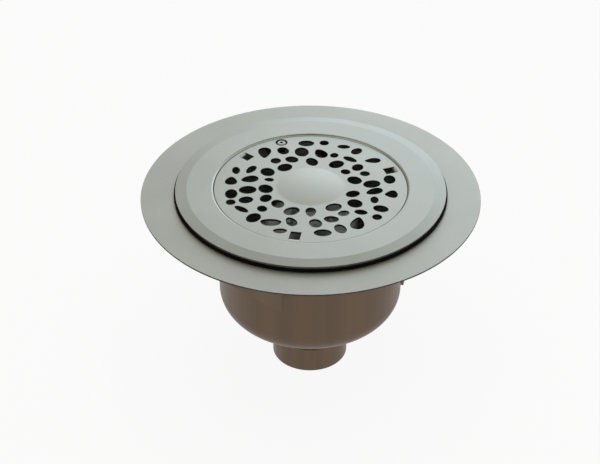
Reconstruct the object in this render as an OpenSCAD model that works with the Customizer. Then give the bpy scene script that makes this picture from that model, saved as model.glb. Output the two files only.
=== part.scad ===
// Floor gully trap in stainless steel: a membrane flange welded to a drawn bowl
// with a vertical outlet, a clamp ring over a rubber gasket, a lift-out bell trap,
// and a round grate with pebble shaped openings held by one lock screw.
// Z is up, the origin is the middle of the outlet's lower end.

/* [Flange] */
// Outer diameter of the membrane flange
flange_d = 320; // [290:1:360]
// Sheet thickness of the flange
flange_t = 1.5; // [1:0.1:3]

/* [Bowl] */
// Outer diameter of the bowl
bowl_d = 179; // [165:1:195]
// Sheet thickness of the bowl
bowl_wall = 1.5; // [1:0.1:2]
// Depth of the straight wall, from the top of the flange
bowl_straight = 108; // [95:1:150]
// Outer radius between the wall and the cone
knuckle_r = 25; // [15:1:30]
// Slope of the cone at the bottom, in degrees from level
cone_angle = 40; // [30:1:45]

/* [Outlet] */
// Outer diameter of the outlet spigot
outlet_d = 75; // [70:1:82]
// Wall of the outlet spigot
outlet_wall = 1.5; // [1:0.1:2]
// Length of the spigot below the cone
outlet_l = 28.5; // [24:0.5:60]

/* [Anchor brackets] */
// Width of an anchor bracket
bracket_w = 93; // [60:1:95]
// How far a bracket reaches below the top of the flange
bracket_drop = 64.5; // [45:0.5:85]
// Length of the foot under the flange
bracket_foot = 22; // [15:1:30]
// Sheet thickness of a bracket
bracket_t = 3; // [2:0.5:4]
// Gap between the bowl and the middle of a bracket
bracket_gap = 4; // [3:0.5:8]
// Diameter of the two anchor holes in a bracket
bracket_hole = 9; // [6:0.5:12]
// Distance between the two anchor holes
bracket_pitch = 40; // [24:1:44]

/* [Gasket and clamp ring] */
// Outer diameter of the clamp ring
ring_d = 255; // [240:1:275]
// Sheet thickness of the clamp ring
ring_t = 1.5; // [1.2:0.1:1.8]
// Height of the ring's crown above the gasket
ring_rise = 3.5; // [3.2:0.1:5]
// Height of the ring's upright rim
rim_h = 2.4; // [2:0.1:2.8]
// Width of the bevel inside the rim
bevel_w = 10.5; // [6:0.5:16]
// Thickness of the clamped gasket
gasket_t = 2.9; // [2.8:0.1:4]
// Width of the gasket under the ring
gasket_w = 22; // [14:1:22]
// How far the gasket stands out past the ring
gasket_lip = 1.5; // [0.5:0.1:3]

/* [Grate] */
// Sheet thickness of the grate
grate_t = 2; // [1.5:0.1:2.4]
// Width of the ledge that carries the grate
ledge_w = 4.8; // [4:0.1:7]
// Diameter of the domed middle of the grate
dome_d = 64; // [50:1:66]
// Height of the domed middle
dome_h = 1.8; // [0.8:0.1:4]
// Width of a locating tab and its square opening
tab_w = 10; // [8:0.5:12]
// Length of a locating tab below the grate
tab_l = 9; // [6:0.5:12]

/* [Screws] */
// Thread diameter of the clamp and lock screws
screw_d = 5; // [4:0.5:5]
// Diameter of the lock screw's head
lock_head_d = 8.6; // [8:0.1:9]
// Diameter of the pressed dimple round the lock screw
dimple_d = 12; // [11:0.5:13]
// Length of a clamp screw under its head
clamp_screw_l = 25; // [22:1:35]

/* [Bell trap] */
// Outer diameter of the bell
bell_d = 94; // [88:1:102]
// Sheet thickness of the bell
bell_wall = 1.2; // [1:0.1:1.5]
// Height of the bell
bell_h = 95; // [85:1:98]
// Depth of the bell's top below the flange
bell_depth = 33; // [30:1:36]
// Height of water that seals the trap
water_seal = 50; // [40:1:55]
// Outer diameter of the standpipe
pipe_d = 64; // [56:1:66]
// Wall of the standpipe
pipe_wall = 1.5; // [1:0.1:2]
// Height of the lifting handle above the bell
handle_h = 16; // [12:1:20]
// Width of the lifting handle's strip
handle_w = 16; // [12:1:20]

/* [Fits] */
// Clearance between pieces that are put together by hand
fit = 0.3; // [0.2:0.05:0.5]
// Clearance between pieces that are welded or pressed together
seat = 0.1; // [0.05:0.01:0.15]

/* [Hidden] */

$fn = 96;
steel = "#A9B1AE";
steel_below = "#7A7068";
rubber = "#17181A";

// Radii of the bowl and its bottom
bowl_r = bowl_d / 2;
bowl_in = bowl_r - bowl_wall;
outlet_r = outlet_d / 2;
outlet_in = outlet_r - outlet_wall;
neck_r = outlet_r + seat;
knuckle_x = bowl_r - knuckle_r;
cone_top_r = knuckle_x + knuckle_r * sin(cone_angle);

// Heights, from the lower end of the outlet
neck_z = outlet_l;
cone_top_z = neck_z + (cone_top_r - neck_r) * tan(cone_angle);
knuckle_z = cone_top_z + knuckle_r * cos(cone_angle);
top_z = knuckle_z + bowl_straight;
spigot_top = neck_z + 2 + bowl_wall / cos(cone_angle);

// The seat of the grate, set by the mouth of the bowl
throat_r = bowl_in - 1.2;
seat_wall_r = throat_r + ledge_w;
grate_r = seat_wall_r - fit;
crown_z = top_z + gasket_t + ring_rise;
grate_top = crown_z - 1.4;
ledge_z = grate_top - grate_t;
ring_r = ring_d / 2;
rim_z = top_z + gasket_t;
bend_r = 1.5;

// Angles of what repeats three times round the axis
lock_angle = 110;
bracket_angles = [110, 230, 350];
tab_angles = [20, 140, 260];
screw_angles = [80, 200, 320];

// Lock screw and its dimple
lock_r = throat_r - 3.2;
lock_seat = grate_top - 1.5;
lock_shank_l = 12;
keeper_w = 34;
keeper_in = lock_r - 1.3 * screw_d;
keeper_out = throat_r + 4;
nut_af = 8;
nut_h = 4;

// Clamp screws, the ears of the ring that they pass and the lugs they pull on
screw_r = throat_r - 7.8;
head_d = 8.5;
head_h = 5;
hex_key = 4;
ear_w = 16;
ear_in = screw_r - 7;
ear_out = throat_r - 1.3;
ear_z = top_z - 4.5;
lug_w = 16;
lug_t = 1.5;
lug_h = 25;
lug_z = ear_z - clamp_screw_l + 7.5;
lug_out = sqrt(pow(bowl_in, 2) - pow(lug_w / 2, 2)) - seat;

// Bell trap
bell_r = bell_d / 2;
bell_top = top_z - bell_depth;
bell_bottom = bell_top - bell_h;
bell_round = 8;
pipe_r = pipe_d / 2;
pipe_top = bell_bottom + water_seal;
pipe_bottom = 5;
collar_t = 1.5;
seal_z = 9;
seal_h = 12;
fin_t = 1.5;
handle_t = 2;
handle_half = 30;
rivet_x = 24;
rivet_d = 4;
rivet_head_d = 8;

// Openings of the grate: [angle, radius, length, width, turn, nose, flat], placed
// in the band between the dome and the rim. The nose narrows the end that the turn
// points to, and the flat takes away from the side to the right of it.
PATTERN_IN = 32;
PATTERN_OUT = 91.3;
OUTER_PEBBLES = [
    [93, 77, 14.5, 9.5, 0, 0, 0], [80, 79, 8, 8, 0, 0, 0],
    [65, 78, 11.5, 6, -5, 0.1, 0], [54, 77, 11.5, 8.5, 50, 0, 0],
    [37, 75.5, 14.5, 7.5, 185, 0.35, 0], [9, 76, 13.5, 10, 90, 0, 0],
    [-10, 76.5, 11, 10.5, 185, 0.5, 0], [-30, 74.5, 13.5, 9.5, -20, 0, 0],
    [-40, 79, 8, 8, 0, 0, 0], [-55, 74, 18, 11, 80, 0.4, 0],
    [-69, 74.5, 13.5, 9.5, 115, 0, 0], [-82, 76.5, 15, 9.5, 0, 0, 0],
    [249, 77.5, 11.5, 6.5, 180, 0, 0.3], [238, 68.5, 18, 10, 177, 0, 0.5],
    [225, 74, 14.5, 11.5, 55, 0, 0], [211, 74.5, 14.5, 6, -38, 0, 0],
    [200, 79, 8, 8, 0, 0, 0], [190, 75.5, 14.5, 10.5, 90, 0, 0],
    [173, 76, 12.5, 10, 90, 0.35, 0], [159, 76.5, 11.5, 6.5, 95, 0, 0],
    [127, 74.5, 18, 11, 270, 0.4, 0]];
MIDDLE_PEBBLES = [
    [113, 68.5, 12.5, 10, 115, 0, 0], [98, 61.5, 15.5, 12.5, 100, 0, 0],
    [80, 59, 15.5, 10.5, 115, 0.2, 0], [67, 59.5, 7.5, 7, 60, 0, 0],
    [51, 61, 14, 6.5, -35, 0.1, 0.2], [36, 56, 11.5, 9.5, 60, 0, 0],
    [23, 56.5, 8.5, 7.5, -10, 0, 0], [4, 58, 15.5, 11.5, 15, 0, 0],
    [-8, 60.5, 15.5, 9, 205, 0.2, 0], [-21, 63.5, 10, 6.5, 90, 0, 0],
    [-43, 63, 11, 7, -15, 0, 0], [-56, 54, 9.5, 7.5, 25, 0, 0],
    [-71, 57.5, 12.5, 9, -5, 0, 0], [-86, 61, 12.5, 10.5, 110, 0, 0],
    [253, 61, 13.5, 8.5, 115, 0.2, 0], [220, 58.5, 9, 8, 120, 0, 0],
    [201, 64.5, 12.5, 10, 15, 0, 0], [186, 59.5, 15.5, 12, 5, 0, 0],
    [168, 59, 15.5, 10, 195, 0.2, 0], [153, 64, 13.5, 7, 240, 0.15, 0],
    [127, 56, 9, 8.5, 30, 0, 0], [111, 50.5, 12, 9.5, -20, 0, 0]];
INNER_PEBBLES = [
    [88, 43, 13.5, 10, 115, 0, 0], [57, 46, 14.5, 11.5, 35, 0, 0],
    [37, 42, 8.5, 7.5, -30, 0, 0], [14, 43, 13.5, 11.5, -40, 0, 0],
    [-18, 41.5, 12.5, 9.5, 25, 0, 0], [-35, 50, 13.5, 12, -40, 0, 0],
    [-59, 41, 14.5, 11, 25, 0, 0], [270, 43, 13.5, 8.5, 270, 0.25, 0],
    [247, 45, 14.5, 11, 30, 0, 0], [224, 42.5, 12.5, 10.5, 120, 0, 0],
    [206, 46.5, 12, 9.5, 65, 0, 0], [186, 42.5, 14, 12, 125, 0, 0],
    [164, 41, 8, 5, 170, 0.2, 0], [149, 48, 14, 12, 125, 0, 0],
    [127, 41, 14, 11.5, 35, 0, 0]];
PEBBLES = concat(OUTER_PEBBLES, MIDDLE_PEBBLES, INNER_PEBBLES);

// Points of an arc about c, from angle a to angle b
function arc(c, r, a, b, n = 8) =
    [for (i = [0:n]) c + r * [cos(a + (b - a) * i / n), sin(a + (b - a) * i / n)]];

// The same points the other way round
function reverse(points) = [for (i = [len(points) - 1:-1:0]) points[i]];

// A flat profile in radius and height, run across the radius at one angle
module across(angle, width)
    rotate([0, 0, angle]) rotate([90, 0, 0])
        linear_extrude(height = width, center = true) children();

// ---- flange, bowl and outlet, welded into one unit ----

module membrane_flange()
    color(steel) translate([0, 0, top_z - flange_t])
        difference() {
            cylinder(h = flange_t, d = flange_d);
            translate([0, 0, -1]) cylinder(h = flange_t + 2, r = bowl_r + seat);
        }

// Points of the bowl's wall, knuckle and cone, drawn in by inset from its outer face
function bowl_line(inset) = concat(
    [[bowl_r - inset, top_z]],
    arc([knuckle_x, knuckle_z], knuckle_r - inset, 0, cone_angle - 90, 12),
    [[neck_r, neck_z + inset / cos(cone_angle)]]);

module trap_bowl()
    color(steel_below) rotate_extrude()
        polygon(concat(bowl_line(0), reverse(bowl_line(bowl_wall))));

module outlet_spigot()
    color(steel_below) difference() {
        union() {
            cylinder(h = spigot_top, r = outlet_r);
            // weld bead against the cone
            rotate_extrude()
                polygon([[outlet_in, neck_z - 2.2], [outlet_r, neck_z - 2.2],
                         [outlet_r + 1.4, neck_z - 0.4], [outlet_r, neck_z - 0.2],
                         [outlet_in, neck_z - 0.2]]);
        }
        translate([0, 0, -1]) cylinder(h = spigot_top + 2, r = outlet_in);
    }

// Folded bracket under the flange, cast into the screed round the bowl
module anchor_bracket(angle) {
    face = bowl_r + bracket_gap;
    far = face + bracket_t;
    z0 = top_z - bracket_drop;
    z1 = top_z - flange_t;
    color(steel_below) difference() {
        across(angle, bracket_w)
            polygon(concat([[face, z0], [far, z0]],
                arc([far + 2, z1 - bracket_t - 2], 2, 180, 90, 4),
                [[far + bracket_foot, z1 - bracket_t], [far + bracket_foot, z1]],
                arc([far + 2, z1 - bracket_t - 2], 2 + bracket_t, 90, 180, 6)));
        for (side = [-1, 1])
            rotate([0, 0, angle]) translate([face - 1, side * bracket_pitch / 2, z0 + 18])
                rotate([0, 90, 0]) cylinder(h = bracket_t + 2, d = bracket_hole);
    }
}

// ---- what draws the clamp ring down ----

module clamp_lug(angle)
    color(steel) difference() {
        across(angle, lug_w)
            polygon([[ear_in, lug_z - lug_t], [ear_in, lug_z], [lug_out, lug_z],
                     [lug_out, lug_z - lug_h], [lug_out - lug_t, lug_z - lug_h],
                     [lug_out - lug_t, lug_z - lug_t]]);
        rotate([0, 0, angle]) translate([screw_r, 0, lug_z - lug_t - 1])
            cylinder(h = lug_t + 2, d = screw_d + 2 * seat);
    }

module hex_nut(hole)
    difference() {
        cylinder(h = nut_h, d = nut_af / cos(30), $fn = 6);
        translate([0, 0, -1]) cylinder(h = nut_h + 2, d = hole);
    }

module clamp_nut(angle)
    color(steel) rotate([0, 0, angle]) translate([screw_r, 0, lug_z - lug_t - nut_h])
        rotate([0, 0, 30]) hex_nut(screw_d + 2 * seat);

module clamp_screw(angle)
    color(steel) rotate([0, 0, angle]) translate([screw_r, 0, ear_z - clamp_screw_l])
        difference() {
            union() {
                cylinder(h = clamp_screw_l + 1, d = screw_d);
                translate([0, 0, clamp_screw_l]) cylinder(h = head_h, d = head_d);
            }
            translate([0, 0, clamp_screw_l + head_h - 2.5])
                cylinder(h = 3, d = hex_key / cos(30), $fn = 6);
        }

// ---- gasket, ring and grate ----

module sealing_gasket() {
    out = ring_r + gasket_lip;
    nose = gasket_t / 2;
    color(rubber) translate([0, 0, top_z]) rotate_extrude() {
        translate([ring_r - gasket_w, 0]) square([out - ring_r + gasket_w - nose, gasket_t]);
        translate([out - nose, nose]) circle(r = nose);
    }
}

// Section of the pressed ring: rim, bevel, crown, recess wall and ledge
module ring_section() {
    foot = crown_z - 3;
    polygon(concat(
        [[ring_r, rim_z], [ring_r, rim_z + rim_h - 0.6], [ring_r - 0.6, rim_z + rim_h],
         [ring_r - bevel_w, crown_z]],
        arc([seat_wall_r + 3, foot], 3, 90, 180),
        [[seat_wall_r, ledge_z], [throat_r, ledge_z], [throat_r, ledge_z - ring_t]],
        arc([seat_wall_r, ledge_z - ring_t + bend_r], bend_r + (ring_t - bend_r), -90, 0, 5),
        arc([seat_wall_r + 3, foot], 3 - ring_t, 180, 90, 5),
        [[ring_r - bevel_w, crown_z - ring_t], [ring_r - ring_t, rim_z + rim_h - ring_t],
         [ring_r - ring_t, rim_z]]));
}

// Ear bent down from the ledge, with the clamp screw's hole
module ring_ear(angle)
    difference() {
        across(angle, ear_w)
            polygon([[throat_r + 1, ledge_z], [ear_out - ring_t, ledge_z],
                     [ear_out - ring_t, ear_z], [ear_in, ear_z], [ear_in, ear_z - ring_t],
                     [ear_out, ear_z - ring_t], [ear_out, ledge_z - ring_t],
                     [throat_r + 1, ledge_z - ring_t]]);
        rotate([0, 0, angle]) translate([screw_r, 0, ear_z - ring_t - 1])
            cylinder(h = ring_t + 2, d = screw_d + 2 * fit);
    }

module clamp_ring()
    color(steel) difference() {
        union() {
            rotate_extrude() ring_section();
            for (angle = screw_angles) ring_ear(angle);
        }
        // relief in the ledge for the lock dimple
        rotate([0, 0, lock_angle]) translate([lock_r, 0, ledge_z - ring_t - 1])
            cylinder(h = ring_t + 2, d = dimple_d + 2);
        // notches in the ledge for the grate's tabs
        for (angle = tab_angles)
            rotate([0, 0, angle])
                translate([throat_r - 2, -tab_w / 2 - fit, ledge_z - ring_t - 1])
                    cube([5, tab_w + 2 * fit, ring_t + 2]);
    }

// Plate under the ledge that the lock screw pulls on
module lock_keeper()
    color(steel) difference() {
        rotate([0, 0, lock_angle])
            translate([keeper_in, -keeper_w / 2, top_z])
                cube([keeper_out - keeper_in, keeper_w, ledge_z - ring_t - top_z]);
        rotate([0, 0, lock_angle]) translate([lock_r, 0, top_z - 1])
            cylinder(h = 5, d = screw_d + 2 * seat);
    }

module keeper_nut()
    color(steel) rotate([0, 0, lock_angle]) translate([lock_r, 0, top_z - nut_h])
        rotate([0, 0, 30]) hex_nut(screw_d + 2 * seat);

module pebble(length, width, nose, flat) {
    high = width / (2 - flat);
    low = high * (1 - flat);
    polygon([for (i = [0:19]) let (a = 18 * i, s = sin(a))
        [length / 2 * cos(a), (s < 0 ? low : high) * s * (1 - nose * cos(a))]]);
}

module pebble_pattern()
    for (p = PEBBLES) {
        share = (grate_r - dome_d / 2) / (PATTERN_OUT - PATTERN_IN);
        rotate(p[0]) translate([dome_d / 2 + (p[1] - PATTERN_IN) * share, 0])
            rotate(p[4] - p[0]) pebble(p[2] * share, p[3] * share, p[5], p[6]);
    }

// Tab bent down from the outer side of its square opening
module grate_tab(angle) {
    face = throat_r - 1.3;
    bend = 1 + grate_t;
    centre = [face + bend, grate_top - bend];
    across(angle, tab_w - 2 * fit)
        polygon(concat(
            arc(centre, bend, 90, 180, 6),
            [[face, grate_top - grate_t - tab_l],
             [face + grate_t, grate_top - grate_t - tab_l]],
            arc(centre, bend - grate_t, 180, 90, 4)));
}

module grate() {
    tab_face = throat_r - 1.3;
    tab_bend = 1 + grate_t;
    dome_r = dome_d / 2;
    ball_r = (pow(dome_r, 2) + pow(dome_h, 2)) / (2 * dome_h);
    dome_a = asin(dome_r / ball_r);
    ball_c = [0, grate_top + dome_h - ball_r];
    color(steel) {
        translate([0, 0, ledge_z]) linear_extrude(height = grate_t)
            difference() {
                circle(r = grate_r);
                circle(r = dome_r);
                pebble_pattern();
                rotate(lock_angle) translate([lock_r, 0]) circle(d = dimple_d);
                for (angle = tab_angles)
                    rotate(angle) translate([tab_face - tab_w, -tab_w / 2])
                        square([tab_w + tab_bend, tab_w]);
            }
        for (angle = tab_angles) grate_tab(angle);
        // domed middle
        rotate_extrude()
            polygon(concat(arc(ball_c, ball_r, 90 - dome_a, 90, 6),
                           arc(ball_c - [0, grate_t], ball_r, 90, 90 - dome_a, 6)));
        // pressed dimple with the lock screw's hole
        rotate([0, 0, lock_angle]) translate([lock_r, 0, 0]) rotate_extrude()
            polygon([[dimple_d / 2, grate_top], [dimple_d / 2 - 1.2, lock_seat],
                     [screw_d / 2 + fit, lock_seat], [screw_d / 2 + fit, lock_seat - grate_t],
                     [dimple_d / 2 - 1, lock_seat - grate_t], [dimple_d / 2, ledge_z]]);
    }
}

module lock_screw()
    color(steel) rotate([0, 0, lock_angle]) translate([lock_r, 0, lock_seat])
        difference() {
            union() {
                translate([0, 0, -lock_shank_l]) cylinder(h = lock_shank_l + 1, d = screw_d);
                rotate_extrude()
                    polygon([[0, 0], [lock_head_d / 2, 0], [lock_head_d / 2, 0.9],
                             [lock_head_d / 2 - 0.8, 1.6], [0, 1.6]]);
            }
            translate([0, 0, 0.2]) cylinder(h = 2, d = 3 / cos(30), $fn = 6);
        }

// ---- lift-out bell trap ----

module standpipe()
    color(steel) difference() {
        union() {
            translate([0, 0, pipe_bottom]) cylinder(h = pipe_top - pipe_bottom, r = pipe_r);
            // collar that rests on the rim of the outlet
            translate([0, 0, spigot_top]) cylinder(h = collar_t, r = outlet_r + 1);
        }
        translate([0, 0, pipe_bottom - 1])
            cylinder(h = pipe_top - pipe_bottom + 2, r = pipe_r - pipe_wall);
    }

// Rubber sleeve with two lips between the standpipe and the outlet
module outlet_seal()
    color(rubber) translate([0, 0, seal_z]) rotate_extrude() {
        x0 = pipe_r + seat;
        x1 = outlet_in - seat;
        translate([x0, 0]) square([1.5, seal_h]);
        for (z = [1.5, seal_h - 4.5])
            polygon([[x0, z], [x1 - 0.5, z], [x1, z + 0.5], [x1, z + 1.5], [x0, z + 3]]);
    }

module trap_bell()
    color(steel) difference() {
        rotate_extrude()
            polygon(concat(
                [[0, bell_top]],
                arc([bell_r - bell_round, bell_top - bell_round], bell_round, 90, 0),
                [[bell_r, bell_bottom], [bell_r - bell_wall, bell_bottom]],
                arc([bell_r - bell_round, bell_top - bell_round],
                    bell_round - bell_wall, 0, 90),
                [[0, bell_top - bell_wall]]));
        for (side = [-1, 1])
            translate([side * rivet_x, 0, bell_top - bell_wall - 1])
                cylinder(h = bell_wall + 2, d = rivet_d + 2 * seat);
    }

// Upright plate that hangs the bell on the standpipe's rim and centres it
module bell_fin(angle) {
    x_in = pipe_r - pipe_wall - 4;
    x_out = bell_r - bell_wall - seat;
    z_top = bell_top - bell_wall - seat;
    color(steel) across(angle, fin_t)
        polygon([[x_in, pipe_top], [pipe_r + fit, pipe_top], [pipe_r + fit, pipe_top - 20],
                 [x_out, pipe_top - 20], [x_out, z_top - bell_round],
                 [x_out - bell_round, z_top], [x_in, z_top]]);
}

module lift_handle()
    color(steel) translate([0, 0, bell_top]) difference() {
        rotate([90, 0, 0]) linear_extrude(height = handle_w, center = true)
            difference() {
                polygon([[-handle_half, 0], [handle_half, 0], [handle_half, handle_t],
                         [19, handle_t], [15, handle_h], [-15, handle_h],
                         [-19, handle_t], [-handle_half, handle_t]]);
                polygon([[-17.3, -1], [17.3, -1], [13.4, handle_h - handle_t],
                         [-13.4, handle_h - handle_t]]);
            }
        for (side = [-1, 1])
            translate([side * rivet_x, 0, -1])
                cylinder(h = handle_t + 2, d = rivet_d + 2 * seat);
    }

module handle_rivet(side)
    color(steel) translate([side * rivet_x, 0, bell_top]) {
        translate([0, 0, -bell_wall - 1]) cylinder(h = bell_wall + handle_t + 1.5, d = rivet_d);
        translate([0, 0, handle_t]) cylinder(h = 1.8, d1 = rivet_head_d, d2 = 5);
        translate([0, 0, -bell_wall - 1.4]) cylinder(h = 1.4, d = 6);
    }

membrane_flange();
trap_bowl();
outlet_spigot();
anchor_bracket(bracket_angles[0]);  // anchor_bracket_1
anchor_bracket(bracket_angles[1]);  // anchor_bracket_2
anchor_bracket(bracket_angles[2]);  // anchor_bracket_3
clamp_lug(screw_angles[0]);  // clamp_lug_1
clamp_lug(screw_angles[1]);  // clamp_lug_2
clamp_lug(screw_angles[2]);  // clamp_lug_3
clamp_nut(screw_angles[0]);  // clamp_nut_1
clamp_nut(screw_angles[1]);  // clamp_nut_2
clamp_nut(screw_angles[2]);  // clamp_nut_3
sealing_gasket();
clamp_ring();
clamp_screw(screw_angles[0]);  // clamp_screw_1
clamp_screw(screw_angles[1]);  // clamp_screw_2
clamp_screw(screw_angles[2]);  // clamp_screw_3
lock_keeper();
keeper_nut();
grate();
lock_screw();
standpipe();
outlet_seal();
trap_bell();
bell_fin(bracket_angles[0]);  // bell_fin_1
bell_fin(bracket_angles[1]);  // bell_fin_2
bell_fin(bracket_angles[2]);  // bell_fin_3
lift_handle();
handle_rivet(-1);  // handle_rivet_1
handle_rivet(1);  // handle_rivet_2
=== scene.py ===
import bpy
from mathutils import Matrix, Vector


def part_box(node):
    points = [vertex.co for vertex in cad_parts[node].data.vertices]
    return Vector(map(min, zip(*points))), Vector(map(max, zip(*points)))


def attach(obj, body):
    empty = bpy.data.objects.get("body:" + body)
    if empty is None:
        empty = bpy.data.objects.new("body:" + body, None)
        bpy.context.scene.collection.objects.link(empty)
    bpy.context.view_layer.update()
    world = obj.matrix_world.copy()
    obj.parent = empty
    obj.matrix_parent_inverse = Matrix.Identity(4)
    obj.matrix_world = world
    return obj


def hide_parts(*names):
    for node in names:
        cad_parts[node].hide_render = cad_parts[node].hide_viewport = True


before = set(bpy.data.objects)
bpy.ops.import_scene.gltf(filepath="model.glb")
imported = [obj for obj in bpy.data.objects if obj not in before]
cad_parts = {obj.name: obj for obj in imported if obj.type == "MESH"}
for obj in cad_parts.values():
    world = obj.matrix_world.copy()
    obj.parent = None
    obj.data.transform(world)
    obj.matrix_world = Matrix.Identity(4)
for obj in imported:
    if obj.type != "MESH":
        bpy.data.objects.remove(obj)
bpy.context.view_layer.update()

import math
import bmesh
import bpy
from mathutils import Vector


# ---- Camera ----
# Looks down on the gully from the front, 35 degrees above the floor, through a long lens that
# keeps the round forms true.
bpy.ops.object.camera_add(location=(-0.0066, -1.0797, 0.9094),
                          rotation=(math.radians(54.66), 0, math.radians(0.181)))
camera = bpy.context.object
camera.data.lens = 82.25
camera.data.clip_start = 0.05
bpy.context.scene.camera = camera
bpy.context.scene.view_settings.view_transform = "Standard"


# ---- Studio: floor, background and light ----
# A plain pale floor under air that is brightest near the ground. A large cool panel behind to
# the right and two shaded stretches of wall give the steel something to mirror, as a room does.
# The studio's sizes are in metres
FLOOR_SIZE = 14
FLOOR_Z = -0.0005
PALE = "#FBFBFB"
FLOOR_GLOW = 0.95
# The air's colours, each at a height of the way looked along: 0 is level, 1 straight up
AIR = [(0.42, "#E4E2DE"), (0.9, "#A19E8E"), (1, "#ABA697")]


def colour(hex_code):
    """An sRGB hex value as linear red, green, blue and alpha."""
    parts = [int(hex_code[i:i + 2], 16) / 255 for i in (1, 3, 5)]
    return [p / 12.92 if p <= 0.04045 else ((p + 0.055) / 1.055) ** 2.4 for p in parts] + [1]


def add(tree, kind, inputs=None, **settings):
    """Adds a node to a tree, with its settings, and a value or a link on each named input."""
    node = tree.nodes.new("ShaderNode" + kind)
    for name, value in settings.items():
        setattr(node, name, value)
    for name, value in (inputs or {}).items():
        if isinstance(value, bpy.types.NodeSocket):
            tree.links.new(value, node.inputs[name])
        else:
            node.inputs[name].default_value = value
    return node


def new_material(name):
    """An empty material and its node tree."""
    material = bpy.data.materials.new(name)
    material.use_nodes = True
    material.node_tree.nodes.clear()
    return material, material.node_tree


def finish_material(tree, shader):
    """Sends a shader to the surface."""
    add(tree, "OutputMaterial", {"Surface": shader.outputs[0]})


def towards(azimuth, elevation):
    """The way to a point so many degrees clockwise from the back and above the floor."""
    a, e = math.radians(azimuth), math.radians(elevation)
    return Vector((math.sin(a) * math.cos(e), math.cos(a) * math.cos(e), math.sin(e)))


bpy.ops.mesh.primitive_plane_add(size=FLOOR_SIZE, location=(0, 0, FLOOR_Z))
floor = bpy.context.object
floor.name = "studio_floor"
# Matt white floor: the eye and the steel see its own paleness, and it still takes a shadow
floor_paint, tree = new_material("pale_floor")
path = add(tree, "LightPath")
seen = add(tree, "Math", {0: path.outputs["Is Camera Ray"], 1: path.outputs["Is Glossy Ray"]},
           operation="MAXIMUM")
seen = add(tree, "Math", {0: seen.outputs[0], 1: path.outputs["Is Transmission Ray"]},
           operation="MAXIMUM")
share = add(tree, "Math", {0: seen.outputs[0], 1: FLOOR_GLOW}, operation="MULTIPLY")
matt = add(tree, "BsdfDiffuse", {"Color": colour(PALE)})
glow = add(tree, "Emission", {"Color": colour(PALE), "Strength": 1.0})
finish_material(tree, add(tree, "MixShader", {0: share.outputs[0], 1: matt.outputs[0],
                                               2: glow.outputs[0]}))
floor.data.materials.append(floor_paint)

world = bpy.data.worlds.new("studio_air")
bpy.context.scene.world = world
world.use_nodes = True
tree = world.node_tree
tree.nodes.clear()
way = add(tree, "TexCoord").outputs["Generated"]
height = add(tree, "SeparateXYZ", {"Vector": way})
fade = add(tree, "ValToRGB", {"Fac": height.outputs["Z"]})
fade.color_ramp.elements.new(0.5)
for stop, (place, shade) in zip(fade.color_ramp.elements, AIR):
    stop.position = place
    stop.color = colour(shade)
air = fade.outputs["Color"]
# Each shaded stretch of wall: its azimuth and elevation in degrees, the cosines from its
# middle where it starts and where it is full, and its colour
SHADES = [(180, 59, 0.915, 0.97, "#302D29"),
          (-60, 17, 0.7, 0.94, "#CCC6B8")]
for azimuth, elevation, start, full, tint in SHADES:
    near = add(tree, "VectorMath", {0: way, 1: towards(azimuth, elevation)},
               operation="DOT_PRODUCT")
    share = add(tree, "MapRange", {"Value": near.outputs["Value"], "From Min": start,
                                   "From Max": full})
    air = add(tree, "MixRGB", {"Fac": share.outputs["Result"], "Color1": air,
                               "Color2": colour(tint)}, blend_type="MULTIPLY").outputs["Color"]
backdrop = add(tree, "Background", {"Color": air, "Strength": 1.0})
add(tree, "OutputWorld", {"Surface": backdrop.outputs[0]})

# Each panel: its name, azimuth and elevation in degrees, distance and size in metres,
# brightness where 1 is white, colour, and whether the steel mirrors it
PANELS = [("cool_panel", 23, 22.5, 2.2, (2.05, 1.4), 0.76, "#E0F2FF", True),
          ("ceiling_panel", 0, 88, 2.2, (2.0, 2.0), 1.95, "#FFFFFF", False)]
for name, azimuth, elevation, distance, size, brightness, tint, glossy in PANELS:
    place = distance * towards(azimuth, elevation)
    bpy.ops.object.light_add(type="AREA", location=place)
    panel = bpy.context.object
    panel.name = name
    panel.rotation_euler = (-place).to_track_quat("-Z", "Y").to_euler()
    panel.data.shape = "RECTANGLE"
    panel.data.size, panel.data.size_y = size
    panel.data.energy = brightness * math.pi * size[0] * size[1]
    panel.data.color = colour(tint)[:3]
    panel.visible_glossy = glossy


# ---- Membrane flange ----
# The wide flat collar that the floor's waterproofing is bonded to: 1.5 mm stainless sheet,
# laser cut to a circle, welded to the bowl and pickled to an even matt grey.

# From here on, sizes are in millimetres
MM = 0.001
SHEET = 1.5
RIM_BAND = 1
FLANGE_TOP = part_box("membrane_flange")[1].z / MM
FLANGE_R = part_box("membrane_flange")[1].x / MM
BOWL_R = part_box("trap_bowl")[1].x / MM
WELD_GAP = 0.1


def bent(corners, steps=6):
    """A section line with each corner (radius, height, bend) rounded by its own bend."""
    line = []
    for i, (x, z, bend) in enumerate(corners):
        here = Vector((x, z))
        if bend == 0:
            line.append(here)
            continue
        back = (Vector(corners[i - 1][:2]) - here).normalized()
        ahead = (Vector(corners[i + 1][:2]) - here).normalized()
        half = back.angle(ahead) / 2
        centre = here + (back + ahead).normalized() * bend / math.sin(half)
        start = here + back * bend / math.tan(half) - centre
        end = here + ahead * bend / math.tan(half) - centre
        sweep = math.atan2(start.x * end.y - start.y * end.x, start.dot(end))
        for step in range(steps + 1):
            a = sweep * step / steps
            line.append(centre + Vector((start.x * math.cos(a) - start.y * math.sin(a),
                                         start.x * math.sin(a) + start.y * math.cos(a))))
    return line


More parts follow.
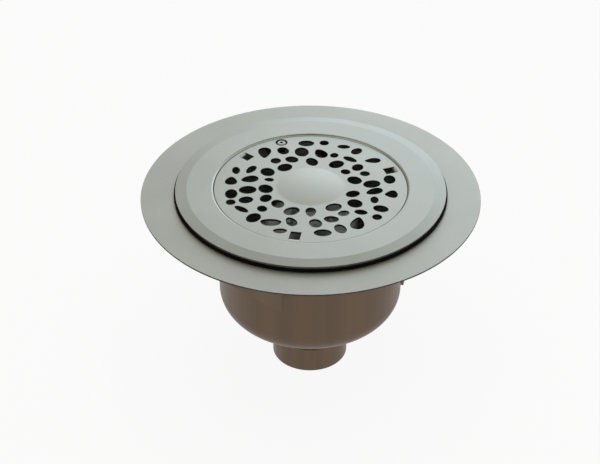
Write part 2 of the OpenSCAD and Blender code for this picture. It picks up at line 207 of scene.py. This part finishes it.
def turned(name, line, around=256, at=(0, 0)):
    """Runs a circle through a section line of radii and heights, in millimetres.

    The face is on the right of the line, so up the outside and in over the top. A line that
    reaches the axis ends in a ring so small that it merges to a point.
    """
    line = [(max(point[0], 0.01), point[1]) for point in line]
    bpy.ops.object.select_all(action="DESELECT")
    bpy.ops.mesh.primitive_circle_add(vertices=around, radius=line[0][0] * MM,
                                      location=(0, 0, line[0][1] * MM))
    piece = bpy.context.object
    piece.name = name
    bpy.ops.object.mode_set(mode="EDIT")
    bpy.ops.mesh.select_all(action="SELECT")
    for (r0, z0), (r1, z1) in zip(line, line[1:]):
        bpy.ops.mesh.extrude_edges_move(TRANSFORM_OT_translate={"value": (0, 0, (z1 - z0) * MM)})
        bpy.ops.transform.resize(value=(r1 / r0, r1 / r0, 1), center_override=(0, 0, 0))
    bpy.ops.object.mode_set(mode="OBJECT")
    first = piece.data.polygons[0]
    outward = Vector((first.center.x, first.center.y, 0)).normalized()
    (r0, z0), (r1, z1) = line[:2]
    right = outward * (z1 - z0) + Vector((0, 0, r0 - r1))
    bpy.ops.object.mode_set(mode="EDIT")
    bpy.ops.mesh.select_all(action="SELECT")
    if first.normal.dot(right) < 0:
        bpy.ops.mesh.flip_normals()
    bpy.ops.mesh.remove_doubles(threshold=0.02 * MM)
    bpy.ops.transform.translate(value=(at[0] * MM, at[1] * MM, 0))
    bpy.ops.object.mode_set(mode="OBJECT")
    bpy.ops.object.transform_apply(location=True, rotation=True, scale=True)
    return piece


def worked(piece, thickness=0, edge=0.15, smooth=35):
    """Gives a sheet its thickness behind its face, eases the edges and shades it smooth."""
    bpy.ops.object.select_all(action="DESELECT")
    piece.select_set(True)
    bpy.context.view_layer.objects.active = piece
    if thickness:
        solid = piece.modifiers.new("thickness", "SOLIDIFY")
        solid.thickness = thickness * MM
        solid.offset = -1
        solid.use_even_offset = True
        bpy.ops.object.modifier_apply(modifier=solid.name)
    if edge:
        bevel = piece.modifiers.new("edge", "BEVEL")
        bevel.width = edge * MM
        bevel.segments = 2
        bevel.limit_method = "ANGLE"
        bevel.angle_limit = math.radians(40)
        bpy.ops.object.modifier_apply(modifier=bevel.name)
    bpy.ops.object.shade_smooth_by_angle(angle=math.radians(smooth))
    flats = piece.modifiers.new("true_flats", "WEIGHTED_NORMAL")
    flats.keep_sharp = True
    bpy.ops.object.modifier_apply(modifier=flats.name)
    return piece


def placed(piece, slot, nodes, *materials):
    """Dresses a piece, fixes it to the gully and lets it stand for its CAD nodes."""
    piece.data.materials.clear()
    for material in materials:
        piece.data.materials.append(material)
    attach(piece, "root")
    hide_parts(*nodes)
    return piece


def other_finish(piece, material, test):
    """Gives some faces of a piece another of its materials.

    They are those that pass a test on their centre, in millimetres, and their normal.
    """
    index = piece.data.materials.find(material.name)
    for face in piece.data.polygons:
        if test(face.center / MM, face.normal):
            face.material_index = index


def steel(name, pale, dark, roughness, grain, cloud, depth=0.02, streaks=None):
    """Stainless steel: two near tones in clouds, and a fine grain that breaks up the gloss.

    Grain and cloud are sizes in millimetres. With streaks, a radius in millimetres, both run
    as lines along the axis of a round piece.
    """
    material, tree = new_material(name)
    place = add(tree, "TexCoord").outputs["Object"]
    if streaks:
        level = add(tree, "Mapping", {"Vector": place, "Scale": (1, 1, 0)})
        way = add(tree, "VectorMath", {0: level.outputs[0]}, operation="NORMALIZE")
        place = add(tree, "VectorMath", {0: way.outputs[0], "Scale": streaks * MM},
                    operation="SCALE").outputs[0]
    clouds = add(tree, "TexNoise", {"Vector": place, "Scale": 1 / (cloud * MM), "Detail": 3.0})
    fine = add(tree, "TexNoise", {"Vector": place, "Scale": 1 / (grain * MM), "Detail": 2.0})
    # A noise lies mostly between 0.3 and 0.7
    tone = add(tree, "ValToRGB", {"Fac": clouds.outputs["Fac"]})
    for stop, share, shade in zip(tone.color_ramp.elements, (0.35, 0.65), (dark, pale)):
        stop.position = share
        stop.color = colour(shade)
    gloss = add(tree, "MapRange", {"Value": fine.outputs["Fac"], "From Min": 0.3,
                                   "From Max": 0.7, "To Min": roughness - 0.05,
                                   "To Max": roughness + 0.05})
    relief = add(tree, "Bump", {"Height": fine.outputs["Fac"], "Strength": depth,
                                "Distance": grain * MM})
    finish_material(tree, add(tree, "BsdfPrincipled", {
        "Base Color": tone.outputs["Color"], "Metallic": 1.0,
        "Roughness": gloss.outputs["Result"], "Normal": relief.outputs["Normal"]}))
    return material


# Pickled stainless: acid takes the mill's shine, which leaves a soft, slightly green grey.
# Its etched grain is near 0.05 mm across and wouldn't show, so it is drawn at 0.5 mm.
pickled = steel("pickled_stainless_sheet", "#CFD4D2", "#CACFCD", 0.44, 0.5, 60)
# The flange's wide sheet is duller than the rest, and is painted paler as painted light, so
# that it stays as bright as the ring
etched = steel("etched_flange_sheet", "#D3D7D5", "#CED2D0", 0.50, 0.5, 60)
# Laser cut edge: the molten steel sets in fine dark ridges, drawn at 0.4 mm, a few times
# their real width, so that they show. Its dark tone is also painted shade. It goes on the
# flange's outer edge, the walls of the grate's openings and dimple, the outlet's weld and
# the screw's socket, where shade falls
cut = steel("laser_cut_edge", "#55514C", "#45423D", 0.5, 0.4, 4, depth=0.2)

# Two rings between rim and hole keep the wide face's triangles short
flange_radii = (FLANGE_R, 0.9 * FLANGE_R, 0.7 * FLANGE_R, BOWL_R + WELD_GAP)
flange = turned("flange_sheet", [(radius, FLANGE_TOP) for radius in flange_radii])
placed(worked(flange, SHEET), "stainless_pickled", ["membrane_flange"], etched, cut)
# The flange's outer edge takes the dark edge steel: cut oxide and painted shade
other_finish(flange, cut, lambda c, n: abs(n.z) < 0.95 and c.xy.length > FLANGE_R - RIM_BAND)


# ---- Bowl ----
# The body that holds the standing water, deep drawn from one round blank of 1.5 mm stainless
# sheet. It has a straight wall, a wide knuckle and a cone down to the outlet.
KNUCKLE = 25
CONE = math.radians(40)
OUTLET_R = 37.5
NECK_Z = 28.5
SHELL = 1.5

# Drawn stainless: the die rubs fine lines down the wall, drawn at 0.8 mm so that they show.
# The outside's dark, brownish tone is painted reflection of a dark room below. It goes on
# the bowl, the outlet, the brackets and the flange's weld as well
drawn = steel("drawn_stainless_shell", "#6B5A4A", "#635548", 0.42, 0.8, 30, depth=0.03,
              streaks=BOWL_R)
foot_r = OUTLET_R + WELD_GAP
corner_z = NECK_Z + (BOWL_R - foot_r) * math.tan(CONE)
bowl = turned("drawn_bowl", bent([(foot_r, NECK_Z, 0), (BOWL_R, corner_z, KNUCKLE),
                                  (BOWL_R, FLANGE_TOP, 0)], steps=16))
placed(worked(bowl, SHELL), "stainless_drawn", ["trap_bowl"], drawn, pickled)


def inside_bowl(c, n):
    """Faces that look in and up, which are pickled as the ring above them is."""
    out_and_down = Vector((c.x, c.y, -0.6 * BOWL_R)).normalized()
    return n.dot(out_and_down) < -0.3


other_finish(bowl, pickled, inside_bowl)


# ---- Outlet spigot ----
# A short length of 75 mm stainless tube that the waste pipe's socket is pushed over. A bead of
# filler weld runs round it under the cone, and another round the bowl under the flange.
OUTLET_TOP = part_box("outlet_spigot")[1].z / MM
BEAD_R = 1.0
RIPPLES = 120
RIPPLE_H = 0.12
# The radius and the height of each bead's middle
OUTLET_BEAD = (OUTLET_R - 0.3, NECK_Z - 1.2)
FLANGE_BEAD = (BOWL_R + 0.2, FLANGE_TOP - SHEET - 0.2)

outlet_in = OUTLET_R - SHELL
outlet = turned("outlet_tube", [(outlet_in, 0), (OUTLET_R, 0), (OUTLET_R, OUTLET_TOP / 2),
                                (OUTLET_R, OUTLET_TOP), (outlet_in, OUTLET_TOP), (outlet_in, 0)])
# The outlet tube takes the same painted dark reflection as the bowl
placed(worked(outlet), "stainless_drawn", ["outlet_spigot"], drawn)


def weld_bead(name, radius, z):
    """A bead of filler weld round the axis, rippled by the steps of the torch."""
    section = [(radius + BEAD_R * math.cos(a), z + BEAD_R * math.sin(a))
               for a in [math.radians(30 * i) for i in range(13)]]
    bead = turned(name, section, around=6 * RIPPLES)
    for vertex in bead.data.vertices:
        angle = math.atan2(vertex.co.y, vertex.co.x)
        vertex.co.z += RIPPLE_H * MM * math.sin(RIPPLES * angle)
    return worked(bead, edge=0)


# The outlet's bead takes the dark edge steel, for weld tint and painted shade in the join. The
# flange's bead takes the bowl's painted dark reflection
placed(weld_bead("outlet_weld", *OUTLET_BEAD), "stainless_drawn", [], cut)
placed(weld_bead("flange_weld", *FLANGE_BEAD), "stainless_drawn", [], drawn)


# ---- Anchor brackets ----
# Three folded plates of 3 mm stainless, welded under the flange. They are cast into the
# screed and hold the gully down.
def eased(name, node, edge=0.2):
    """A merged copy of a CAD piece whose form is right, with its edges eased."""
    bpy.ops.object.select_all(action="DESELECT")
    piece = bpy.data.objects.new(name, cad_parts[node].data.copy())
    bpy.context.collection.objects.link(piece)
    piece.select_set(True)
    bpy.context.view_layer.objects.active = piece
    bpy.ops.mesh.customdata_custom_splitnormals_clear()
    bpy.ops.object.mode_set(mode="EDIT")
    bpy.ops.mesh.select_all(action="SELECT")
    bpy.ops.mesh.remove_doubles(threshold=0.002 * MM)
    bpy.ops.mesh.dissolve_limited(angle_limit=math.radians(1))
    bpy.ops.object.mode_set(mode="OBJECT")
    return worked(piece, edge=edge, smooth=30)


# The brackets take the same painted dark reflection as the bowl
for i in (1, 2, 3):
    bracket = eased("bracket_plate_%d" % i, "anchor_bracket_%d" % i, edge=0.3)
    placed(bracket, "stainless_drawn", ["anchor_bracket_%d" % i], drawn)


# ---- Clamp lugs and nuts ----
# Inside the bowl's mouth, three folded stainless lugs are welded to the wall, each with a
# weld nut underneath. They take the clamp ring's screws.
# Painted shade: the small parts hidden under the grate get a dark steel that stands for the
# shade they sit in
tinted = steel("oxide_tinted_stainless", "#55524E", "#45423F", 0.50, 0.5, 6)
for i in (1, 2, 3):
    placed(eased("lug_%d" % i, "clamp_lug_%d" % i), "stainless_pickled",
           ["clamp_lug_%d" % i], tinted)
    placed(eased("weld_nut_%d" % i, "clamp_nut_%d" % i), "stainless_pickled",
           ["clamp_nut_%d" % i], tinted)


# ---- Gasket ----
# A flat ring moulded in EPDM rubber, clamped between the flange and the ring above it. It
# stands out a little past the ring, and its corners are just off square.
def moulded_rubber(name, hex_code, roughness, speck):
    """EPDM rubber: nearly black and matt, because its carbon black leaves hardly any gloss.

    The speck is a size in millimetres, coarser than the mould's own so that it shows.
    """
    material, tree = new_material(name)
    place = add(tree, "TexCoord").outputs["Object"]
    specks = add(tree, "TexNoise", {"Vector": place, "Scale": 1 / (speck * MM), "Detail": 3.0})
    gloss = add(tree, "MapRange", {"Value": specks.outputs["Fac"], "To Min": roughness - 0.1,
                                   "To Max": roughness + 0.1})
    relief = add(tree, "Bump", {"Height": specks.outputs["Fac"], "Strength": 0.2,
                                "Distance": speck * MM})
    finish_material(tree, add(tree, "BsdfPrincipled", {
        "Base Color": colour(hex_code), "Specular IOR Level": 0.08,
        "Roughness": gloss.outputs["Result"], "Normal": relief.outputs["Normal"]}))
    return material


# The rubber is set blacker than EPDM's own near-black, as painted shade for the gasket under the
# ring and the sleeve in the bowl
epdm = moulded_rubber("epdm_rubber", "#040404", 0.75, 0.4)
# Moulded rubber shrinks a little in cooling, and its corners come out of the mould eased
SHRINK = 0.1
GASKET_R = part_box("sealing_gasket")[1].x / MM - SHRINK
GASKET_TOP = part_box("sealing_gasket")[1].z / MM
GASKET_W = 23.5
CORNER = 0.2 * (GASKET_TOP - FLANGE_TOP)
gasket_in = GASKET_R - GASKET_W
gasket = turned("gasket_ring", bent([
    (gasket_in, FLANGE_TOP, 0), (GASKET_R, FLANGE_TOP, CORNER), (GASKET_R, GASKET_TOP, CORNER),
    (gasket_in, GASKET_TOP, 0), (gasket_in, FLANGE_TOP, 0)]))
placed(worked(gasket, edge=0), "rubber", ["sealing_gasket"], epdm)


# ---- Clamp ring ----
# Pressed from 1.5 mm stainless sheet: upright rim, shallow bevel, flat crown, a recess and
# the ledge that carries the grate. Three ears bent down from the ledge take the screws.
RING_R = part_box("clamp_ring")[1].x / MM
CROWN_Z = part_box("clamp_ring")[1].z / MM
RIM_H = 2.4
RIM_BEND = 0.4
BEVEL_W = 10.5
BEVEL_BEND = 6
SEAT_WALL_R = 91.6
RECESS_BEND = 2.2
RECESS_H = 3.4
LEDGE_BEND = 0.3
THROAT_R = 86.8
rim_top = GASKET_TOP + RIM_H
bevel_in = RING_R - BEVEL_W
ledge_z = CROWN_Z - RECESS_H
ring = turned("pressed_ring", bent([
    (RING_R, GASKET_TOP, 0), (RING_R, rim_top, RIM_BEND), (bevel_in, CROWN_Z, BEVEL_BEND),
    (SEAT_WALL_R, CROWN_Z, RECESS_BEND), (SEAT_WALL_R, ledge_z, LEDGE_BEND),
    (THROAT_R, ledge_z, 0)]), around=320)
# Ring's rim: its upright face is painted darker than the sheet, as painted shade for the dark
# that it mirrors below, and is a shade rougher
trimmed = steel("deburred_rim", "#7E7A73", "#726E68", 0.48, 0.4, 4, depth=0.1)
# Burnished bend: the die's radius rubs the sheet as it is drawn into the recess, so the bend
# is smoother than the flats and mirrors the room in a narrow line. Its steel is painted a
# shade darker than the flats, as painted shade in the recess
burnished = steel("burnished_bend", "#BCC1BE", "#B7BCB9", 0.28, 0.5, 60)
# Bevel: painted shade, a darker copy of the sheet's steel for the dimmer light on its slope
pressed = steel("pressed_bevel", "#C6CCCA", "#C1C7C5", 0.44, 0.5, 60)
placed(worked(ring, SHEET), "stainless_pickled", ["clamp_ring"], pickled, trimmed, burnished,
       pressed)
# The bevel's painted shade ends within its inner bend, and the recess's covers its whole bend
rim_in = RING_R - RIM_BEND
other_finish(ring, trimmed, lambda c, n: c.xy.length > rim_in and abs(n.z) < 0.5)
other_finish(ring, pressed, lambda c, n: bevel_in - 0.3 < c.xy.length < rim_in and n.z > 0.5)
other_finish(ring, burnished, lambda c, n: 0.1 < n.z < 0.99
             and SEAT_WALL_R - 0.3 < c.xy.length < SEAT_WALL_R + RECESS_BEND + 0.1)

# Each ear hangs just inside the throat, then turns in to a flat foot for its screw
EAR_Z = FLANGE_TOP - 4.5
EAR_IN = THROAT_R - 14.8
EAR_OUT = THROAT_R - 1.3
EAR_W = 16
EAR_BEND = 1
EAR_LAP = 1
EAR_ANGLES = (80, 200, 320)
# Two places that are nearer than this are the same
TOUCH = 0.01


def pick(piece, test, longest=None):
    """Selects the vertices that pass a test on their place, and leaves the piece in edit mode.

    Places are in millimetres. With a longest length, it selects only the edges between those
    vertices that are no longer.
    """
    bpy.ops.object.mode_set(mode="EDIT")
    bpy.ops.mesh.select_mode(type="VERT")
    bpy.ops.mesh.select_all(action="DESELECT")
    bpy.ops.object.mode_set(mode="OBJECT")
    for vertex in piece.data.vertices:
        vertex.select = test(vertex.co / MM)
    bpy.ops.object.mode_set(mode="EDIT")
    if longest:
        bpy.ops.mesh.select_mode(type="EDGE")
        bpy.ops.object.mode_set(mode="OBJECT")
        for face in piece.data.polygons:
            face.select = False
        for edge in piece.data.edges:
            a, b = (piece.data.vertices[i].co for i in edge.vertices)
            edge.select = edge.select and (a - b).length / MM <= longest
        bpy.ops.object.mode_set(mode="EDIT")


def strip(name, line, width, angle):
    """Runs a level edge of a given width along radii and heights, at one angle round the axis."""
    bpy.ops.object.select_all(action="DESELECT")
    (x0, z0), (x1, z1) = line[:2]
    bpy.ops.mesh.primitive_plane_add(size=1, location=(0, 0, 0))
    piece = bpy.context.object
    piece.name = name
    corners = [(x0, -width / 2, z0), (x1, -width / 2, z1), (x0, width / 2, z0),
               (x1, width / 2, z1)]
    for vertex, place in zip(piece.data.vertices, corners):
        vertex.co = Vector(place) * MM
    end = Vector((x1, z1))
    pick(piece, lambda co: (co.xz - end).length < TOUCH)
    for (x0, z0), (x1, z1) in zip(line[1:], line[2:]):
        bpy.ops.mesh.extrude_edges_move(
            TRANSFORM_OT_translate={"value": ((x1 - x0) * MM, 0, (z1 - z0) * MM)})
    bpy.ops.object.mode_set(mode="OBJECT")
    piece.rotation_euler.z = math.radians(angle)
    bpy.ops.object.transform_apply(location=True, rotation=True, scale=True)
    return piece


ear_line = bent([(THROAT_R + EAR_LAP, ledge_z, 0), (EAR_OUT - SHEET, ledge_z, 0),
                 (EAR_OUT - SHEET, EAR_Z, EAR_BEND), (EAR_IN, EAR_Z, 0)])
# The ears take the same painted shade as the other hidden parts
for i, angle in enumerate(EAR_ANGLES, 1):
    ear = strip("ring_ear_%d" % i, ear_line, EAR_W, angle)
    placed(worked(ear, SHEET), "stainless_pickled", [], tinted)


# ---- Clamp screws ----
# Three M5 stainless socket screws, hidden under the grate. They go through the ring's ears
# into the weld nuts and draw the ring down on the gasket.
# The screws take the same painted shade as the lugs
for i in (1, 2, 3):
    placed(eased("cap_screw_%d" % i, "clamp_screw_%d" % i), "stainless_pickled",
           ["clamp_screw_%d" % i], tinted)


# ---- Lock keeper ----
# A small stainless plate with a weld nut, spot welded under the ledge. The grate's lock
# screw is turned into it.
# The keeper and its nut take the same painted shade as the lugs
placed(eased("keeper_plate", "lock_keeper"), "stainless_pickled", ["lock_keeper"], tinted)
placed(eased("keeper_weld_nut", "keeper_nut"), "stainless_pickled", ["keeper_nut"], tinted)


# ---- Standpipe and its seal ----
# The stainless tube inside the bowl sets the water level. Its collar rests on the outlet, and
# a lipped EPDM sleeve closes the joint below.
for name, node, slot, material in (("overflow_tube", "standpipe", "stainless_pickled", pickled),
                                   ("lipped_sleeve", "outlet_seal", "rubber", epdm)):
    placed(eased(name, node), slot, [node], material)


# ---- Bell ----
# A cap drawn from stainless sheet, over the standpipe. It dips into the water and keeps the
# drain's air out, hangs on three fins and lifts out by a riveted strap.
BELL_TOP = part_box("trap_bell")[1].z / MM
BELL_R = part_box("trap_bell")[1].x / MM
BELL_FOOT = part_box("trap_bell")[0].z / MM
BELL_ROUND = 8
BELL_WALL = 1.2
bell = turned("drawn_bell", bent([(BELL_R, BELL_FOOT, 0), (BELL_R, BELL_TOP, BELL_ROUND),
                                  (0, BELL_TOP, 0)], steps=10), around=192)
placed(worked(bell, BELL_WALL), "stainless_pickled", ["trap_bell"], pickled)
for i in (1, 2, 3):
    placed(eased("hanging_fin_%d" % i, "bell_fin_%d" % i), "stainless_pickled",
           ["bell_fin_%d" % i], pickled)
placed(eased("lifting_strap", "lift_handle", edge=0.4), "stainless_pickled", ["lift_handle"],
       pickled)
# Turned stainless: machined bright, a little glossier than the sheet
turned_steel = steel("turned_stainless", "#C4C7C5", "#B9BCBA", 0.32, 0.4, 12)
for i in (1, 2):
    placed(eased("strap_rivet_%d" % i, "handle_rivet_%d" % i), "stainless_pickled",
           ["handle_rivet_%d" % i], turned_steel)


# ---- Grate ----
# One disc of 2 mm stainless sheet. Pebble shaped openings are laser cut, the middle is pressed
# to a low dome, a dimple takes the lock screw, and three bent tabs centre it in the ring.
PLATE = 2
# The bends at the rim's upper and lower corner, and how far outside the edge that it is
# drawn from the upper one starts
ROLL = 0.7
FOOT_BEND = 0.4
HAIR = 0.001
# The dome's rise, its foot with the bend there, and how far that bend runs out in the plate
DOME_H = 1.8
DOME_R = 32
DOME_BEND = 27
DOME_BLEND = 1.6
DOME_RINGS = 16
# How much wider the laser leaves each opening, all round
KERF = 0.6
# The dimple's mouth, depth, draw and foot bend, and the hole for the screw
DIMPLE_R = 6
DIMPLE_DEPTH = 1.5
DIMPLE_SLOPE = 0.25
DIMPLE_BEND = 0.3
SCREW_HOLE_R = 2.8
# Sides of the circles that meet the plate
RIM_SIDES, DOME_SIDES, DIMPLE_SIDES = 320, 128, 48
# Where the lock screw stands
LOCK_R = THROAT_R - 3.2
LOCK_ANGLE = 110
# The tabs' length, width, bend and outer face, and the opening that each leaves
TAB_L = 9
TAB_W = 9.8
TAB_BEND = 1 + PLATE
TAB_FACE = THROAT_R - 1.3
TAB_HOLE = 10
TAB_ANGLES = (20, 140, 260)
PLATE_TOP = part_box("grate")[1].z / MM - DOME_H
GRATE_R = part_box("grate")[1].x / MM


def out_and_side(angle):
    """The ways outward and sideways at an angle round the axis."""
    turn = math.radians(angle)
    return (Vector((math.cos(turn), math.sin(turn), 0)),
            Vector((-math.sin(turn), math.cos(turn), 0)))


def outlines(node, height):
    """The closed outlines of a CAD piece's level face at one height, each a list of points."""
    form = bmesh.new()
    form.from_mesh(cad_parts[node].data)
    bmesh.ops.remove_doubles(form, verts=form.verts, dist=0.002 * MM)
    level = {f for f in form.faces if f.normal.z > 0.99
             and all(abs(v.co.z / MM - height) < 0.02 for v in f.verts)}
    border = [e for e in form.edges if sum(f in level for f in e.link_faces) == 1]
    left = set(border)
    loops = []
    for edge in border:
        if edge not in left:
            continue
        left.discard(edge)
        start, here = edge.verts
        loop = [start.co.xy / MM]
        while here != start:
            loop.append(here.co.xy / MM)
            edge = next(e for e in here.link_edges if e in left)
            left.discard(edge)
            here = edge.other_vert(here)
        loops.append(loop)
    form.free()
    return loops


def circle_points(radius, count, centre=(0, 0)):
    """Points round a circle, the first on the +X side."""
    return [(centre[0] + radius * math.cos(2 * math.pi * i / count),
             centre[1] + radius * math.sin(2 * math.pi * i / count)) for i in range(count)]


# The flat blank is drawn as outlines: rim, dome, dimple, then openings, then tabs
lock = (LOCK_R * out_and_side(LOCK_ANGLE)[0]).xy
drawing = bpy.data.curves.new("grate_drawing", "CURVE")
drawing.dimensions = "2D"
drawing.fill_mode = "FRONT"
drawing.resolution_u = 3
inner = GRATE_R - ROLL
for points in (circle_points(inner, RIM_SIDES), circle_points(DOME_R + DOME_BLEND, DOME_SIDES),
               circle_points(DIMPLE_R, DIMPLE_SIDES, lock)):
    spline = drawing.splines.new("POLY")
    spline.points.add(len(points) - 1)
    for knot, (x, y) in zip(spline.points, points):
        knot.co = (x * MM, y * MM, 0, 1)
    spline.use_cyclic_u = True
# A pebble's outline is small, has many points and isn't round the lock screw
PEBBLE_REACH = 20
PEBBLE_POINTS = 12
for loop in outlines("grate", PLATE_TOP):
    middle = sum(loop, Vector((0, 0))) / len(loop)
    reach = max((point - middle).length for point in loop)
    at_lock = (middle - lock).length < DIMPLE_R / 3
    if reach > PEBBLE_REACH or len(loop) < PEBBLE_POINTS or at_lock:
        continue
    spline = drawing.splines.new("BEZIER")
    spline.bezier_points.add(len(loop) - 1)
    for knot, point in zip(spline.bezier_points, loop):
        point = point + (point - middle).normalized() * KERF
        knot.co = (point.x * MM, point.y * MM, 0)
        knot.handle_left_type = knot.handle_right_type = "AUTO"
    spline.use_cyclic_u = True
# Each tab leaves a square opening behind it, whose outer edge holds the tab's own root
near, root = TAB_FACE - TAB_HOLE, TAB_FACE + TAB_BEND
half = TAB_HOLE / 2
tab_opening = [(near, -half), (root, -half), (root, -TAB_W / 2), (root, TAB_W / 2),
               (root, half), (near, half)]
for angle in TAB_ANGLES:
    out, side = out_and_side(angle)
    spline = drawing.splines.new("POLY")
    spline.points.add(len(tab_opening) - 1)
    for knot, (r, t) in zip(spline.points, tab_opening):
        knot.co = (*(out * r + side * t) * MM, 1)
    spline.use_cyclic_u = True
bpy.ops.object.select_all(action="DESELECT")
grate = bpy.data.objects.new("pebble_grate", drawing)
bpy.context.collection.objects.link(grate)
grate.location.z = PLATE_TOP * MM
grate.select_set(True)
bpy.context.view_layer.objects.active = grate
bpy.ops.object.convert(target="MESH")
bpy.ops.object.transform_apply(location=True, rotation=True, scale=True)

bpy.ops.object.mode_set(mode="EDIT")
bpy.ops.mesh.select_mode(type="VERT")
bpy.ops.mesh.select_all(action="SELECT")
bpy.ops.mesh.remove_doubles(threshold=0.002 * MM)
bpy.ops.mesh.beautify_fill(angle_limit=math.radians(180))
bpy.ops.object.mode_set(mode="OBJECT")
if grate.data.polygons[0].normal.z < 0:
    bpy.ops.object.mode_set(mode="EDIT")
    bpy.ops.mesh.select_all(action="SELECT")
    bpy.ops.mesh.flip_normals()
    bpy.ops.object.mode_set(mode="OBJECT")
# Each tab is drawn out of its opening's outer edge: round the bend, then straight down
tab_line = bent([(root + 1, PLATE_TOP, 0), (TAB_FACE, PLATE_TOP, TAB_BEND),
                 (TAB_FACE, PLATE_TOP - PLATE - TAB_L, 0)])[1:]
for angle in TAB_ANGLES:
    out, side = out_and_side(angle)
    pick(grate, lambda co: abs(co.dot(out) - root) < TOUCH
         and abs(abs(co.dot(side)) - TAB_W / 2) < TOUCH)
    for (r0, z0), (r1, z1) in zip(tab_line, tab_line[1:]):
        step = (out * (r1 - r0) + Vector((0, 0, z1 - z0))) * MM
        bpy.ops.mesh.extrude_edges_move(TRANSFORM_OT_translate={"value": step})
    bpy.ops.object.mode_set(mode="OBJECT")

# The dome is the cap of a large ball, blended into the plate, and the dimple a small dish
ball = (DOME_R ** 2 + DOME_H ** 2) / (2 * DOME_H)
dome_line = [(DOME_R + DOME_BLEND, PLATE_TOP, 0), (DOME_R, PLATE_TOP, DOME_BEND)]
for i in range(2, DOME_RINGS + 1):
    r = DOME_R * (1 - i / DOME_RINGS)
    dome_line.append((r, PLATE_TOP + DOME_H - ball + math.sqrt(ball ** 2 - r ** 2), 0))
dome = turned("dome", bent(dome_line), around=DOME_SIDES)
dish_z = PLATE_TOP - DIMPLE_DEPTH
dish = turned("dish", bent([
    (DIMPLE_R, PLATE_TOP, 0), (DIMPLE_R - DIMPLE_SLOPE, dish_z, DIMPLE_BEND),
    (SCREW_HOLE_R, dish_z, 0)]), around=DIMPLE_SIDES, at=lock)
bpy.ops.object.select_all(action="DESELECT")
for part in (dome, dish, grate):
    part.select_set(True)
bpy.context.view_layer.objects.active = grate
bpy.ops.object.join()
bpy.ops.object.mode_set(mode="EDIT")
bpy.ops.mesh.select_all(action="SELECT")
bpy.ops.mesh.remove_doubles(threshold=0.005 * MM)
bpy.ops.object.mode_set(mode="OBJECT")
worked(grate, PLATE, edge=0)

# The rim is rolled: its wall is taken off, and drawn anew round the curve and down
bpy.ops.object.mode_set(mode="EDIT")
bpy.ops.mesh.select_mode(type="FACE")
bpy.ops.mesh.select_all(action="DESELECT")
bpy.ops.object.mode_set(mode="OBJECT")
for face in grate.data.polygons:
    middle = face.center / MM
    face.select = (abs(face.normal.z) < 0.1 and middle.xy.length > inner - 0.1
                   and middle.z > PLATE_TOP - PLATE + 0.1)
bpy.ops.object.mode_set(mode="EDIT")
bpy.ops.mesh.delete(type="FACE")
bpy.ops.object.mode_set(mode="OBJECT")
step_round = 2 * math.pi * inner / RIM_SIDES
pick(grate, lambda co: co.xy.length > inner - TOUCH and co.z > PLATE_TOP - TOUCH,
     longest=1.1 * step_round)
rim_line = bent([(inner - 1, PLATE_TOP, 0), (GRATE_R, PLATE_TOP, ROLL - HAIR),
                 (GRATE_R, PLATE_TOP - PLATE, FOOT_BEND), (inner, PLATE_TOP - PLATE, 0)],
                steps=4)[1:]
for (r0, z0), (r1, z1) in zip(rim_line, rim_line[1:]):
    bpy.ops.mesh.extrude_edges_move(TRANSFORM_OT_translate={"value": (0, 0, (z1 - z0) * MM)})
    bpy.ops.transform.resize(value=(r1 / r0, r1 / r0, 1), center_override=(0, 0, 0))
bpy.ops.mesh.select_all(action="SELECT")
bpy.ops.mesh.remove_doubles(threshold=0.005 * MM)
bpy.ops.mesh.normals_make_consistent(inside=False)
bpy.ops.object.mode_set(mode="OBJECT")
placed(worked(grate, edge=0.12), "stainless_pickled", ["grate"], pickled, cut)


def lasered(c, n):
    """Walls of the cut openings, and of the screw's dimple as painted shade; not of the rim and
    tabs.
    """
    if (c.xy - lock).length < DIMPLE_R - 0.1:
        return c.z < PLATE_TOP - 0.1
    if abs(n.z) > 0.5 or c.xy.length > GRATE_R - RIM_BAND or c.z < PLATE_TOP - PLATE:
        return False
    for angle in TAB_ANGLES:
        out, side = out_and_side(angle)
        if abs(c.dot(out) - TAB_FACE) < TAB_BEND and abs(c.dot(side)) < TAB_W / 2 + 0.2:
            return False
    return True


other_finish(grate, cut, lasered)


# ---- Lock screw ----
# An M5 screw of turned stainless, with a flat round head and a hexagon socket. It is sunk in
# the dimple and holds the grate down on the ring. The socket's inside gets the dark edge steel
# as painted shade.
SOCKET_R = 2
screw = placed(eased("locking_screw", "lock_screw", edge=0.25), "stainless_pickled",
               ["lock_screw"], turned_steel, cut)
other_finish(screw, cut, lambda c, n: (c.xy - lock).length < SOCKET_R
             and PLATE_TOP - DIMPLE_DEPTH < c.z < PLATE_TOP)
